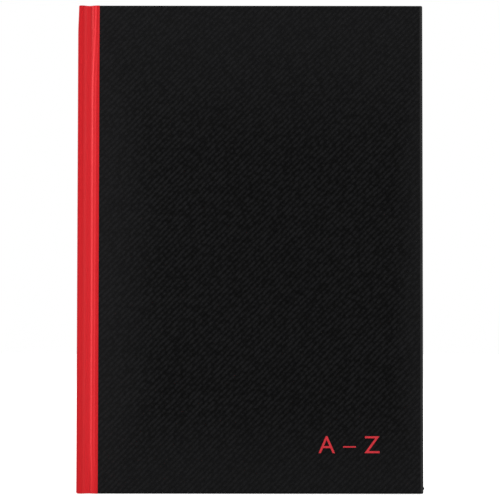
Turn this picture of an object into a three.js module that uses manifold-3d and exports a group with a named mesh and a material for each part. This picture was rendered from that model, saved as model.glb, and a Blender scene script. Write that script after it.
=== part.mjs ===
// Hard-cover A4 notebook with an A to Z index cut in its fore-edge.
// Millimetres, +Z up. The notebook stands closed on its tail edge: the spine is at -X, the front cover
// faces -Y, and the origin is at the middle of the footprint. Every piece is a separate solid.

import * as THREE from 'three';
import { mergeVertices } from 'three/addons/utils/BufferGeometryUtils.js';
import Module from 'manifold-3d';

const wasm = await Module();
wasm.setup();

// Driving dimensions of the leaves: an A4 sheet, less what the fold and the trim take from its width
const LEAF_HEIGHT = 297;
const LEAF_WIDTH = 207.8;
const PAPER = 0.105;
const LEAVES_PER_LETTER = 4;
const LETTERS = [...'abcdefghijklmnopqrstuvw', 'xyz'];
const LETTERS_PER_SECTION = 4;
const LEAF_AIR = 0.02;
const INDEX_MARGIN = 10;
const TAB_CORNER = 2;

// Driving dimensions of the case: boards, the cloth and paper that cover them, and the spine
const BOARD = 2.4;
const SQUARE = 3;
const COVERING = 0.3;
const TURN_IN = 15;
const CLOTH_EDGE = 13.4;
const ENDPAPER = 0.15;
const SPINE_BOARD = 2;
const SPINE_CORNER = 1;
const RIDGE_WIDTH = 2.6;
const BOARD_START = 9;
const BOARD_BEVEL = [2.2, 1.2];
const GROOVE_DEPTH = 2;
const GROOVE_RISE = 4.2;

// Driving dimensions of what holds the leaves to the case
const HOLLOW = 0.6;
const LINING = 0.2;
const LINING_SHORT = 2;
const MULL = 0.2;
const MULL_SHORT = 22;
const MULL_FLANGE = 18;
const THREAD = 0.4;
const STITCHES = 8;
const STITCH_MARGIN = 30;
const BAND_BEAD = [2.4, 1.8];
const BAND_TONGUE = 12;

// Clearances: half the slit where a moving piece meets a fixed one, and the glue on a board's crushed edge
const HINGE_SLIT = 0.15;
const GLUE = 0.03;

// Derived depths, counted from the outer plane of a cover inwards
const BOARD_TOP = COVERING;
const BOARD_UNDER = BOARD_TOP + BOARD;
const TURN_IN_UNDER = BOARD_UNDER + COVERING;
const CASE_WALL = TURN_IN_UNDER + ENDPAPER;
const BLOCK_FACE = CASE_WALL + MULL;
const LETTER_THICKNESS = LEAVES_PER_LETTER * PAPER;
const LETTER_PITCH = LETTER_THICKNESS + LEAF_AIR;
const LEAVES_FACE = BLOCK_FACE + ENDPAPER + LEAF_AIR;
const LEAVES_THICKNESS = LETTERS.length * LETTER_PITCH - LEAF_AIR;
const THICKNESS = 2 * LEAVES_FACE + LEAVES_THICKNESS;

// Derived distances, counted from the outer face of the spine towards the fore-edge
const SPINE_INSIDE = COVERING + SPINE_BOARD;
const FLAP_INSIDE = SPINE_INSIDE + COVERING;
const LINING_BACK = SPINE_INSIDE + HOLLOW;
const MULL_BACK = LINING_BACK + LINING;
const THREAD_BACK = MULL_BACK + MULL;
const FOLD_BACK = THREAD_BACK + THREAD;
const FORE_EDGE = FOLD_BACK + LEAF_WIDTH;
const COVER_WIDTH = FORE_EDGE + SQUARE;
const GROOVE_END = BOARD_START + BOARD_BEVEL[0];
const HINGE = GROOVE_END - GROOVE_RISE;
const FIXED_END = HINGE - HINGE_SLIT;
const MOVING_START = HINGE + HINGE_SLIT;

// Derived heights
const COVER_HEIGHT = LEAF_HEIGHT + 2 * SQUARE;
const LEAF_TAIL = SQUARE;
const LEAF_HEAD = SQUARE + LEAF_HEIGHT;
const TAB_HEIGHT = LEAF_HEIGHT / LETTERS.length;

// How far a cutting body reaches past what it cuts
const OVERCUT = 1;

// How finely round stretches are drawn
const ROUND_STEPS = 5;
const GROOVE_STEPS = 8;

const FRONT = -1;
const BACK = 1;

const fromSpine = (distance) => distance - COVER_WIDTH / 2;
const atDepth = (side, depth) => side * (THICKNESS / 2 - depth);
const depthSpan = (side, near, far) => [atDepth(side, near), atDepth(side, far)].sort((a, b) => a - b);
const spineSpan = (near, far) => [fromSpine(near), fromSpine(far)];
const middle = (span) => (span[0] + span[1]) / 2;
const size = (span) => span[1] - span[0];

const look = (color, roughness) => new THREE.MeshStandardMaterial({ color, roughness, metalness: 0 });

function piece(name, geometry, material, position = [0, 0, 0]) {
  const mesh = new THREE.Mesh(geometry, material);
  mesh.name = name;
  mesh.position.set(...position);
  return mesh;
}

function boxGeometry(x, y, z) {
  return new THREE.BoxGeometry(size(x), size(y), size(z));
}

function boxPiece(name, material, x, y, z) {
  return piece(name, boxGeometry(x, y, z), material, [middle(x), middle(y), middle(z)]);
}

function placedBox(x, y, z) {
  return boxGeometry(x, y, z).translate(middle(x), middle(y), middle(z));
}

// A bar whose section is drawn in the XY plane and runs up from one height to another
function upright(points, low, high) {
  const shape = new THREE.Shape(points);
  const options = { depth: high - low, bevelEnabled: false };
  return new THREE.ExtrudeGeometry(shape, options).translate(0, 0, low);
}

function solidFrom(geometry) {
  geometry.deleteAttribute('normal');
  geometry.deleteAttribute('uv');
  const merged = mergeVertices(geometry);
  const mesh = new wasm.Mesh({
    numProp: 3,
    vertProperties: new Float32Array(merged.attributes.position.array),
    triVerts: new Uint32Array(merged.index.array),
  });
  return new wasm.Manifold(mesh);
}

function geometryFrom(solid) {
  const mesh = solid.getMesh();
  const geometry = new THREE.BufferGeometry();
  geometry.setAttribute('position', new THREE.BufferAttribute(mesh.vertProperties, 3));
  geometry.setIndex(new THREE.BufferAttribute(mesh.triVerts, 1));
  geometry.computeVertexNormals();
  return geometry;
}

// Points along the outer face of the cloth where it dips from the ridge of the spine into the groove
function ridgeSlope() {
  const points = [];
  for (let i = 0; i <= GROOVE_STEPS; i += 1) {
    const distance = RIDGE_WIDTH + ((HINGE - RIDGE_WIDTH) * i) / GROOVE_STEPS;
    const drop = (1 - Math.cos((Math.PI * i) / GROOVE_STEPS)) / 2;
    points.push(new THREE.Vector2(Math.min(distance, FIXED_END), GROOVE_DEPTH * drop));
  }
  return points;
}

// Points where the cloth climbs out of the groove onto the board
function boardSlope() {
  const points = [];
  for (let i = 0; i <= GROOVE_STEPS; i += 1) {
    const distance = HINGE + (GROOVE_RISE * i) / GROOVE_STEPS;
    const drop = (1 + Math.cos((Math.PI * i) / GROOVE_STEPS)) / 2;
    points.push(new THREE.Vector2(Math.max(distance, MOVING_START), GROOVE_DEPTH * drop));
  }
  return points;
}

// A thin section whose outer face follows the points; its inner face lies one covering deeper.
// The sheet runs level where it starts and ends.
function sheetSection(points) {
  const inner = points.map((point, i) => {
    const level = i === 0 || i === points.length - 1;
    const along = level ? new THREE.Vector2(1, 0) : points[i + 1].clone().sub(points[i - 1]).normalize();
    const normal = new THREE.Vector2(-along.y, along.x).multiplyScalar(COVERING);
    return point.clone().add(normal);
  });
  return [...points, ...inner.reverse()];
}

// Turns section points, given as distance from the spine and depth, into the plan of one side
function planPoints(side, points) {
  return points.map((point) => new THREE.Vector2(fromSpine(point.x), atDepth(side, point.y)));
}

// The plan of the spine, drawn at an inset from its outer face, with round outer corners
function spinePlan(inset, inner) {
  const radius = SPINE_CORNER - inset;
  const centre = SPINE_CORNER;
  const half = [];
  for (let i = 0; i <= ROUND_STEPS; i += 1) {
    const turn = (Math.PI / 2) * (i / ROUND_STEPS);
    half.push(new THREE.Vector2(centre - radius * Math.cos(turn), centre - radius * Math.sin(turn)));
  }
  half.push(new THREE.Vector2(inner, inset));
  const front = planPoints(FRONT, half);
  const back = planPoints(BACK, half).reverse();
  return [...back, ...front];
}

// The case: boards

function spineBoard(material) {
  const plan = spinePlan(COVERING, SPINE_INSIDE);
  return piece('spine_board', upright(plan, COVERING, COVER_HEIGHT - COVERING), material);
}

// The plan of a cover board, or of the room for it: its edge at the groove is crushed to a slope
function boardPlan(side, glue) {
  const end = COVER_WIDTH - COVERING;
  return planPoints(side, [
    new THREE.Vector2(BOARD_START, BOARD_UNDER),
    new THREE.Vector2(BOARD_START, BOARD_TOP + BOARD_BEVEL[1] - glue),
    new THREE.Vector2(GROOVE_END - glue, BOARD_TOP),
    new THREE.Vector2(end, BOARD_TOP),
    new THREE.Vector2(end, BOARD_UNDER),
  ]);
}

function coverBoard(name, side, material) {
  return piece(name, upright(boardPlan(side, 0), COVERING, COVER_HEIGHT - COVERING), material);
}

// The case: a covering whose outside wraps round the board and is turned in behind it
function wrappedCovering(side, outline, windowEnd) {
  const low = COVERING;
  const high = COVER_HEIGHT - COVERING;
  const outside = solidFrom(upright(planPoints(side, outline), 0, COVER_HEIGHT));
  const board = solidFrom(upright(boardPlan(side, GLUE), low, high));
  const window = solidFrom(
    placedBox(
      spineSpan(BOARD_START, windowEnd),
      depthSpan(side, BOARD_UNDER, TURN_IN_UNDER + OVERCUT),
      [low + TURN_IN, high - TURN_IN]));
  return outside.subtract(board).subtract(window);
}

function coverPaper(name, side, material) {
  const outline = [
    new THREE.Vector2(CLOTH_EDGE, 0),
    new THREE.Vector2(COVER_WIDTH, 0),
    new THREE.Vector2(COVER_WIDTH, TURN_IN_UNDER),
    new THREE.Vector2(CLOTH_EDGE, TURN_IN_UNDER),
  ];
  const wrapped = wrappedCovering(side, outline, COVER_WIDTH - COVERING - TURN_IN);
  return piece(name, geometryFrom(wrapped), material);
}

function hingeCloth(name, side, material) {
  const slope = boardSlope();
  const groove = solidFrom(upright(planPoints(side, sheetSection(slope)), 0, COVER_HEIGHT));
  const overBoard = slope.filter((point) => point.x > BOARD_START);
  const outline = [
    ...overBoard,
    new THREE.Vector2(CLOTH_EDGE, 0),
    new THREE.Vector2(CLOTH_EDGE, TURN_IN_UNDER),
    new THREE.Vector2(overBoard[0].x, TURN_IN_UNDER),
  ];
  const onBoard = wrappedCovering(side, outline, CLOTH_EDGE + OVERCUT);
  return piece(name, geometryFrom(groove.add(onBoard)), material);
}

function spineCloth(material) {
  const outside = solidFrom(upright(spinePlan(0, FLAP_INSIDE), 0, COVER_HEIGHT));
  const inside = solidFrom(
    upright(spinePlan(COVERING, SPINE_INSIDE), COVERING, COVER_HEIGHT - COVERING));
  const window = solidFrom(
    placedBox(
      spineSpan(SPINE_INSIDE, FLAP_INSIDE + OVERCUT),
      [atDepth(FRONT, COVERING), atDepth(BACK, COVERING)],
      [COVERING + TURN_IN, COVER_HEIGHT - COVERING - TURN_IN]));
  let cloth = outside.subtract(inside).subtract(window);
  for (const side of [FRONT, BACK]) {
    const slope = planPoints(side, sheetSection(ridgeSlope()));
    cloth = cloth.add(solidFrom(upright(slope, 0, COVER_HEIGHT)));
  }
  return piece('spine_cloth', geometryFrom(cloth), material);
}

// The case: endpapers and the flange of the mull that is pasted under each

function leafBox(name, side, near, material) {
  return boxPiece(
    name, material, spineSpan(MOVING_START, FORE_EDGE), depthSpan(side, near, near + ENDPAPER),
    [LEAF_TAIL, LEAF_HEAD]);
}

function mullFlange(name, side, material) {
  return boxPiece(
    name, material,
    spineSpan(MOVING_START, BOARD_START + MULL_FLANGE),
    depthSpan(side, BOARD_UNDER, BOARD_UNDER + MULL),
    [LEAF_TAIL + MULL_SHORT, LEAF_HEAD - MULL_SHORT]);
}

function endpaperFold(name, side, material) {
  return boxPiece(
    name, material, spineSpan(FOLD_BACK, FIXED_END), depthSpan(side, BLOCK_FACE, BLOCK_FACE + ENDPAPER),
    [LEAF_TAIL, LEAF_HEAD]);
}

// The block: folded section backs, stitches, mull, lining and bands

function sectionFold(index, material) {
  const letters = LETTERS_PER_SECTION;
  const near = LEAVES_FACE + index * letters * LETTER_PITCH;
  const far = near + letters * LETTER_PITCH - LEAF_AIR;
  const radius = (far - near) / 2;
  const section = [];
  const steps = 2 * ROUND_STEPS;
  for (let i = 0; i <= steps; i += 1) {
    const turn = (Math.PI * i) / steps;
    section.push(new THREE.Vector2(
      FOLD_BACK + radius * (1 - Math.sin(turn)), near + radius * (1 - Math.cos(turn))));
  }
  section.push(new THREE.Vector2(FIXED_END, far), new THREE.Vector2(FIXED_END, near));
  const plan = planPoints(FRONT, section);
  return piece(`section_fold_${index + 1}`, upright(plan, LEAF_TAIL, LEAF_HEAD), material);
}

// One waxed thread, pressed flat: a stitch across the folds at each station and a run along the middle
function sewingThread(material) {
  const reach = spineSpan(THREAD_BACK, FOLD_BACK);
  const across = [atDepth(FRONT, BLOCK_FACE), atDepth(BACK, BLOCK_FACE)];
  const low = LEAF_TAIL + STITCH_MARGIN;
  const high = LEAF_HEAD - STITCH_MARGIN;
  let thread = solidFrom(placedBox(reach, [-THREAD / 2, THREAD / 2], [low, high]));
  for (let i = 0; i < STITCHES; i += 1) {
    const height = low + ((high - low - THREAD) * i) / (STITCHES - 1);
    thread = thread.add(solidFrom(placedBox(reach, across, [height, height + THREAD])));
  }
  return piece('sewing_thread', geometryFrom(thread), material);
}

function mull(material) {
  const section = [
    new THREE.Vector2(FIXED_END, CASE_WALL),
    new THREE.Vector2(MULL_BACK, CASE_WALL),
  ];
  const inside = [
    new THREE.Vector2(FIXED_END, BLOCK_FACE),
    new THREE.Vector2(THREAD_BACK, BLOCK_FACE),
  ];
  const plan = [
    ...planPoints(FRONT, section),
    ...planPoints(BACK, section).reverse(),
    ...planPoints(BACK, inside),
    ...planPoints(FRONT, inside).reverse(),
  ];
  return piece('mull', upright(plan, LEAF_TAIL + MULL_SHORT, LEAF_HEAD - MULL_SHORT), material);
}

function spineLining(material) {
  return boxPiece(
    'spine_lining_paper', material,
    spineSpan(LINING_BACK, MULL_BACK),
    [atDepth(FRONT, CASE_WALL), atDepth(BACK, CASE_WALL)],
    [LEAF_TAIL + LINING_SHORT, LEAF_HEAD - LINING_SHORT]);
}

// A rolled bead that stands on the end of the block, with a tongue glued down behind the folds
function endBand(name, end, outward, material) {
  const bead = [];
  const [width, height] = BAND_BEAD;
  const steps = 2 * ROUND_STEPS;
  for (let i = 0; i <= steps; i += 1) {
    const turn = (Math.PI * i) / steps;
    bead.push(new THREE.Vector2(
      THREAD_BACK + (width / 2) * (1 + Math.cos(turn)), height * Math.sin(turn)));
  }
  bead.push(
    new THREE.Vector2(THREAD_BACK, -BAND_TONGUE),
    new THREE.Vector2(FOLD_BACK, -BAND_TONGUE),
    new THREE.Vector2(FOLD_BACK, 0));
  const profile = new THREE.Shape(
    bead.map((point) => new THREE.Vector2(fromSpine(point.x), end + outward * point.y)));
  const length = THICKNESS - 2 * BLOCK_FACE;
  const geometry = new THREE.ExtrudeGeometry(profile, { depth: length, bevelEnabled: false });
  return piece(name, geometry.rotateX(Math.PI / 2).translate(0, length / 2, 0), material);
}

// The leaves of one letter: the margin below its tab is cut away, so that the next tabs show
function leavesOutline(index) {
  const start = fromSpine(MOVING_START);
  const edge = fromSpine(FORE_EDGE);
  const tabTail = LEAF_HEAD - (index + 1) * TAB_HEIGHT;
  const shape = new THREE.Shape();
  shape.moveTo(start, LEAF_HEAD);
  shape.lineTo(start, LEAF_TAIL);
  if (index < LETTERS.length - 1) {
    shape.lineTo(edge - INDEX_MARGIN, LEAF_TAIL);
    shape.lineTo(edge - INDEX_MARGIN, tabTail);
    shape.lineTo(edge - TAB_CORNER, tabTail);
    shape.absarc(edge - TAB_CORNER, tabTail + TAB_CORNER, TAB_CORNER, -Math.PI / 2, 0, false);
  } else {
    shape.lineTo(edge, LEAF_TAIL);
  }
  shape.lineTo(edge, LEAF_HEAD);
  return shape;
}

function letterLeaves(index, material) {
  const options = { depth: LETTER_THICKNESS, bevelEnabled: false, curveSegments: ROUND_STEPS };
  const geometry = new THREE.ExtrudeGeometry(leavesOutline(index), options).rotateX(Math.PI / 2);
  const far = LEAVES_FACE + index * LETTER_PITCH + LETTER_THICKNESS;
  return piece(`leaves_${LETTERS[index]}`, geometry, material, [0, atDepth(FRONT, far), 0]);
}

const greyBoard = look(0x8c867c, 0.95);
const redCloth = look(0xcc2a30, 0.7);
const blackPaper = look(0x161616, 0.6);
const whitePaper = look(0xf2efe6, 0.9);
const endPaper = look(0xeae6da, 0.9);
const mullCloth = look(0xe4dfd0, 0.95);
const threadLook = look(0xf0ece0, 0.8);
const bandLook = look(0xb8242c, 0.8);

function coverGroup(word, side) {
  const group = new THREE.Group();
  group.add(coverBoard(`${word}_board`, side, greyBoard));
  group.add(coverPaper(`${word}_cover_paper`, side, blackPaper));
  group.add(hingeCloth(`${word}_hinge_cloth`, side, redCloth));
  group.add(mullFlange(`${word}_mull_flange`, side, mullCloth));
  group.add(leafBox(`${word}_pastedown`, side, TURN_IN_UNDER, endPaper));
  return group;
}

function spineGroup() {
  const group = new THREE.Group();
  group.add(spineBoard(greyBoard));
  group.add(spineCloth(redCloth));
  group.add(spineLining(whitePaper));
  group.add(mull(mullCloth));
  group.add(sewingThread(threadLook));
  group.add(endBand('head_band', LEAF_HEAD, 1, bandLook));
  group.add(endBand('tail_band', LEAF_TAIL, -1, bandLook));
  return group;
}

function blockGroup() {
  const group = new THREE.Group();
  for (let i = 0; i < LETTERS.length / LETTERS_PER_SECTION; i += 1) {
    group.add(sectionFold(i, whitePaper));
  }
  for (const [word, side] of [['front', FRONT], ['back', BACK]]) {
    group.add(endpaperFold(`${word}_endpaper_fold`, side, endPaper));
    group.add(leafBox(`${word}_flyleaf`, side, BLOCK_FACE, endPaper));
  }
  LETTERS.forEach((letter, i) => group.add(letterLeaves(i, whitePaper)));
  return group;
}

const notebook = new THREE.Group();
notebook.add(coverGroup('front', FRONT));
notebook.add(coverGroup('back', BACK));
notebook.add(spineGroup());
notebook.add(blockGroup());

export default notebook;
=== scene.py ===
# %% [markdown]
# # A stiff-backed index book, dressed over its CAD frame
# The real object is a casebound A4 book: two grey boards covered with ribbed black paper, a strip of red
# book cloth over the spine and both grooves, and ruled leaves with an A to Z index cut in their fore-edge.
# The frame holds every solid in its right place, so this lesson only adds what makes it look real.
# Everything below is in metres, and the book stands closed on its tail edge with its front towards -Y.

# %% Load the fixed frame
import math

import bmesh
import bpy
from mathutils import Matrix, Vector


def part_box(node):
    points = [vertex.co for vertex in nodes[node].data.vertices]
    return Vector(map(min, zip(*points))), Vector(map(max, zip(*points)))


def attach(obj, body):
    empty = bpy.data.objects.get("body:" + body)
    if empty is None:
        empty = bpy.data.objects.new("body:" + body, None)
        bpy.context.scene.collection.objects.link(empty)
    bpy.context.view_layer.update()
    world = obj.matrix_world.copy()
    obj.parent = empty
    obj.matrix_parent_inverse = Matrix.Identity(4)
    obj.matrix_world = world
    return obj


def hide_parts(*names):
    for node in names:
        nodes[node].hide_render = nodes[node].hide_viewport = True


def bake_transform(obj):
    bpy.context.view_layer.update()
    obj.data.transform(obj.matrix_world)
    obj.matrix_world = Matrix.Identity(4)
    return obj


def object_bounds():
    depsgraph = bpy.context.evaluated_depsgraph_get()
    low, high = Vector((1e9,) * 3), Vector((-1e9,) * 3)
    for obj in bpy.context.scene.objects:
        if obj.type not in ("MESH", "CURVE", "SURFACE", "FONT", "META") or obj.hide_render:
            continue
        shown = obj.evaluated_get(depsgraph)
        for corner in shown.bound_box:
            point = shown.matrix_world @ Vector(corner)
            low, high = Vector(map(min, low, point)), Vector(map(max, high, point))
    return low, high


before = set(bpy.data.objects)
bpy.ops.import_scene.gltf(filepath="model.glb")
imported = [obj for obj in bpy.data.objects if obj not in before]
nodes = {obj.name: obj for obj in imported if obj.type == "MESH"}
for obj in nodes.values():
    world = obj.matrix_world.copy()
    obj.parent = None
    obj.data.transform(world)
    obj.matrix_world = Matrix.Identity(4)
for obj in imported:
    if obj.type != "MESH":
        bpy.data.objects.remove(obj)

cad_low, cad_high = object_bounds()

# %% [markdown]
# ## Where things are
# A bookbinder measures from the outside of the case: how far a point lies from the spine, and how deep it
# lies under a cover. The same two numbers are used here, so every size can be compared with a real book.
# The sizes themselves come from the boxes of the CAD nodes, and aren't written a second time.

# %% Measure the case
MM = 0.001
FRONT, BACK = -1, 1
WORD = {FRONT: "front", BACK: "back"}

SPINE_X = cad_low.x
HALF_THICKNESS = cad_high.y
HEIGHT = cad_high.z
WIDTH = cad_high.x - cad_low.x


def from_spine(distance):
    return SPINE_X + distance


def at_depth(side, depth):
    return side * (HALF_THICKNESS - depth)


leaf_low, leaf_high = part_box("leaves_xyz")
cloth_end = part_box("spine_cloth")[1].x
cover_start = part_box("front_hinge_cloth")[0].x
paper_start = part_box("front_cover_paper")[0].x
hinge_x = (cloth_end + cover_start) / 2
print("width, height, hinge in mm", [round(v / MM, 2) for v in (WIDTH, HEIGHT, hinge_x - SPINE_X)])

# %% [markdown]
# ## The camera
# The photograph looks straight at the front cover from a little below the middle, with the camera pitched
# up by about two degrees, so the tail of the book is about one percent wider than its head.
# A long lens at more than a metre keeps the edges nearly parallel, as in a catalogue picture.
# A camera in Blender looks along its own -Z, and `to_track_quat` turns that axis towards a point.

# %% Aim the camera
CAMERA_DISTANCE = 1.2
CAMERA_PITCH = math.radians(2.25)
CAMERA_ROLL = math.radians(0.06)
LENS = 139.45

aim = Vector((0.0, -HALF_THICKNESS, HEIGHT / 2 - 0.95 * MM))
camera_place = aim + Vector((0.0, -CAMERA_DISTANCE, -CAMERA_DISTANCE * math.tan(CAMERA_PITCH)))
camera = bpy.data.objects.new("camera", bpy.data.cameras.new("camera"))
bpy.context.scene.collection.objects.link(camera)
camera.location = camera_place
camera.rotation_mode = "QUATERNION"
camera.rotation_quaternion = (aim - camera_place).to_track_quat("-Z", "Y")
camera.rotation_quaternion = camera.rotation_quaternion @ Matrix.Rotation(CAMERA_ROLL, 3, "Z").to_quaternion()
camera.data.lens = LENS
camera.data.sensor_width = 36
camera.data.shift_x = 0.0
camera.data.shift_y = 0.0
bpy.context.scene.camera = camera
bpy.context.scene.view_settings.view_transform = "Standard"
print("camera", [round(v, 3) for v in camera_place])

# %% [markdown]
# ## Light, floor and background
# The picture has a white background and soft light. One broad lamp stands on the left, where it catches
# the slope by which the cloth climbs out of the groove. A weaker one on the right keeps the opposite slope
# from going black. The world fills the rest. What the camera and reflections see of it is plain white,
# while what lights the book is greyer, and a Light Path node tells these rays apart.

# %% Light the book
WORLD_FILL = 0.68


def lamp(name, place, size, watts):
    light = bpy.data.lights.new(name, "AREA")
    light.shape = "RECTANGLE"
    light.size, light.size_y = size
    light.energy = watts
    carrier = bpy.data.objects.new(name, light)
    carrier.location = place
    carrier.rotation_mode = "QUATERNION"
    carrier.rotation_quaternion = (aim - Vector(place)).to_track_quat("-Z", "Y")
    bpy.context.scene.collection.objects.link(carrier)
    return carrier


lamp("window_left", (-1.55, -0.36, 0.45), (0.4, 0.7), 20.0)
lamp("card_right", (1.55, -0.36, 0.35), (0.4, 0.8), 14.0)
lamp("room_back", (0.5, 2.0, 1.3), (1.0, 1.0), 14.0)

# %% Fill the world


def join_rays(tree):
    """One socket that is 1 for camera, glossy and transmission rays."""
    path = tree.nodes.new("ShaderNodeLightPath")
    seen = path.outputs["Is Camera Ray"]
    for name in ("Is Glossy Ray", "Is Transmission Ray"):
        either = tree.nodes.new("ShaderNodeMath")
        either.operation = "MAXIMUM"
        tree.links.new(seen, either.inputs[0])
        tree.links.new(path.outputs[name], either.inputs[1])
        seen = either.outputs[0]
    return seen


world = bpy.data.worlds.new("studio")
world.use_nodes = True
bpy.context.scene.world = world
sky = world.node_tree
background = sky.nodes["Background"]
background.inputs["Color"].default_value = (1.0, 1.0, 1.0, 1.0)
fill = sky.nodes.new("ShaderNodeMapRange")
fill.inputs["To Min"].default_value = WORLD_FILL
fill.inputs["To Max"].default_value = 1.0
sky.links.new(join_rays(sky), fill.inputs["Value"])
sky.links.new(fill.outputs["Result"], background.inputs["Strength"])
print("world fill", WORLD_FILL)

# %% Lay the floor
FLOOR_REACH = 6.0
FLOOR_GLOW = 0.5
FLOOR_DROP = 0.2 * MM

floor_bm = bmesh.new()
bmesh.ops.create_circle(floor_bm, cap_ends=True, segments=64, radius=FLOOR_REACH)
floor_mesh = bpy.data.meshes.new("floor")
floor_bm.to_mesh(floor_mesh)
floor_bm.free()
floor = bpy.data.objects.new("floor", floor_mesh)
floor.location.z = -FLOOR_DROP
bpy.context.scene.collection.objects.link(floor)
floor_material = bpy.data.materials.new("pale_floor")
floor_material.use_nodes = True
floor_tree = floor_material.node_tree
floor_shader = floor_tree.nodes["Principled BSDF"]
floor_shader.inputs["Base Color"].default_value = (0.93, 0.93, 0.93, 1.0)
floor_shader.inputs["Roughness"].default_value = 0.9
floor_shader.inputs["Specular IOR Level"].default_value = 0.1
floor_shader.inputs["Emission Color"].default_value = (1.0, 1.0, 1.0, 1.0)
glow = floor_tree.nodes.new("ShaderNodeMath")
glow.operation = "MULTIPLY"
glow.inputs[1].default_value = FLOOR_GLOW
floor_tree.links.new(join_rays(floor_tree), glow.inputs[0])
floor_tree.links.new(glow.outputs[0], floor_shader.inputs["Emission Strength"])
floor_mesh.materials.append(floor_material)
print("floor", FLOOR_REACH, "m across its radius")

# %% [markdown]
# ## Small helpers for shader nodes
# A material in Blender is a graph. Each helper below adds one node and hands back its output, so that a
# pattern reads like arithmetic. A pattern needs to know where on the piece it is. Rigid pieces use Object
# coordinates. Pieces that bend at the hinge carry an attribute named `rest` with the place of each point
# in the closed book, because their points move and a pattern on Object coordinates would slide.

# %% Node helpers


def screen(red, green, blue):
    """A colour as seen on screen, 0 to 255, as the linear values that a shader takes."""
    shares = [c / 255 for c in (red, green, blue)]
    linear = [((s + 0.055) / 1.055) ** 2.4 if s > 0.0393 else s / 12.92 for s in shares]
    return (*linear, 1.0)


def feed(tree, socket, value):
    if isinstance(value, bpy.types.NodeSocket):
        tree.links.new(value, socket)
    else:
        socket.default_value = value


def calc(tree, operation, first, second=0.0, third=0.0):
    node = tree.nodes.new("ShaderNodeMath")
    node.operation = operation
    for socket, value in zip(node.inputs, (first, second, third)):
        feed(tree, socket, value)
    return node.outputs[0]


def remap(tree, value, start, end, low=0.0, high=1.0):
    node = tree.nodes.new("ShaderNodeMapRange")
    node.interpolation_type = "SMOOTHSTEP"
    given = {"Value": value, "From Min": start, "From Max": end, "To Min": low, "To Max": high}
    for name, number in given.items():
        feed(tree, node.inputs[name], number)
    return node.outputs["Result"]


def mix_colour(tree, share, first, second):
    node = tree.nodes.new("ShaderNodeMix")
    node.data_type = "RGBA"
    feed(tree, node.inputs[0], share)
    feed(tree, node.inputs[6], first)
    feed(tree, node.inputs[7], second)
    return node.outputs[2]


def noise(tree, place, scale, detail=3.0):
    node = tree.nodes.new("ShaderNodeTexNoise")
    feed(tree, node.inputs["Vector"], place)
    node.inputs["Scale"].default_value = scale
    node.inputs["Detail"].default_value = detail
    return node.outputs["Fac"]


def split(tree, place):
    node = tree.nodes.new("ShaderNodeSeparateXYZ")
    tree.links.new(place, node.inputs[0])
    return node.outputs


def join(tree, x, y, z):
    node = tree.nodes.new("ShaderNodeCombineXYZ")
    for socket, value in zip(node.inputs, (x, y, z)):
        feed(tree, socket, value)
    return node.outputs[0]


print("node helpers ready")

# %% Start a material or a group


def new_material(name, bends=False):
    """A material, its node tree, its shader, and the socket that says where on the piece it is."""
    material = bpy.data.materials.new(name)
    material.use_nodes = True
    tree = material.node_tree
    if bends:
        node = tree.nodes.new("ShaderNodeAttribute")
        node.attribute_name = "rest"
        place = node.outputs["Vector"]
    else:
        place = tree.nodes.new("ShaderNodeTexCoord").outputs["Object"]
    return material, tree, tree.nodes["Principled BSDF"], place


def new_group(name, inputs, outputs):
    group = bpy.data.node_groups.new(name, "ShaderNodeTree")
    for label, kind in inputs:
        group.interface.new_socket(label, in_out="INPUT", socket_type=kind)
    for label, kind in outputs:
        group.interface.new_socket(label, in_out="OUTPUT", socket_type=kind)
    return group, group.nodes.new("NodeGroupInput").outputs, group.nodes.new("NodeGroupOutput").inputs


def use_group(tree, group, **values):
    node = tree.nodes.new("ShaderNodeGroup")
    node.node_tree = group
    for label, value in values.items():
        feed(tree, node.inputs[label], value)
    return node.outputs


def bump(tree, shader, height, distance, strength=1.0):
    node = tree.nodes.new("ShaderNodeBump")
    node.inputs["Strength"].default_value = strength
    node.inputs["Distance"].default_value = distance
    feed(tree, node.inputs["Height"], height)
    tree.links.new(node.outputs["Normal"], shader.inputs["Normal"])


FLOAT, VECTOR = "NodeSocketFloat", "NodeSocketVector"
print("group helpers ready")

# %% [markdown]
# ## Patterns that several finishes share
# A finish on paper or cloth is mostly structure: threads that cross, ribs that were pressed in, leaves
# stacked into a block. Each structure is a node group with named inputs, so that two materials can use it
# with their own values. A group gives back heights and masks only, and the shader stays in the material.

# %% A plain weave of crossing threads


def plain_weave():
    """Threads that pass over and under each other, from a place and a thread pitch."""
    group, given, made = new_group(
        "plain_weave", [("Place", VECTOR), ("Pitch", FLOAT)], [("Height", FLOAT), ("Gap", FLOAT)])
    x, y, z = split(group, given["Place"])
    around = calc(group, "ADD", x, calc(group, "ABSOLUTE", y))
    across = calc(group, "DIVIDE", around, given["Pitch"])
    along = calc(group, "DIVIDE", z, given["Pitch"])
    warp = calc(group, "ABSOLUTE", calc(group, "SINE", calc(group, "MULTIPLY", across, math.pi)))
    weft = calc(group, "ABSOLUTE", calc(group, "SINE", calc(group, "MULTIPLY", along, math.pi)))
    cell = calc(group, "ADD", calc(group, "FLOOR", across), calc(group, "FLOOR", along))
    over = calc(group, "PINGPONG", cell, 1.0)
    top = calc(group, "MULTIPLY", warp, over)
    under = calc(group, "MULTIPLY", weft, calc(group, "SUBTRACT", 1.0, over))
    feed(group, made["Height"], calc(group, "ADD", top, under))
    feed(group, made["Gap"], calc(group, "SUBTRACT", 1.0, calc(group, "MAXIMUM", warp, weft)))
    return group


weave = plain_weave()
print("group", weave.name)

# %% Ribs pressed into paper at a slant
RIB_DRIFT = 0.9 * MM
DRIFT_SCALE = 200.0
CRUMB_SCALE = 520.0
CORD = 0.11 * MM
SLANT = math.sqrt(0.5)


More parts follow.
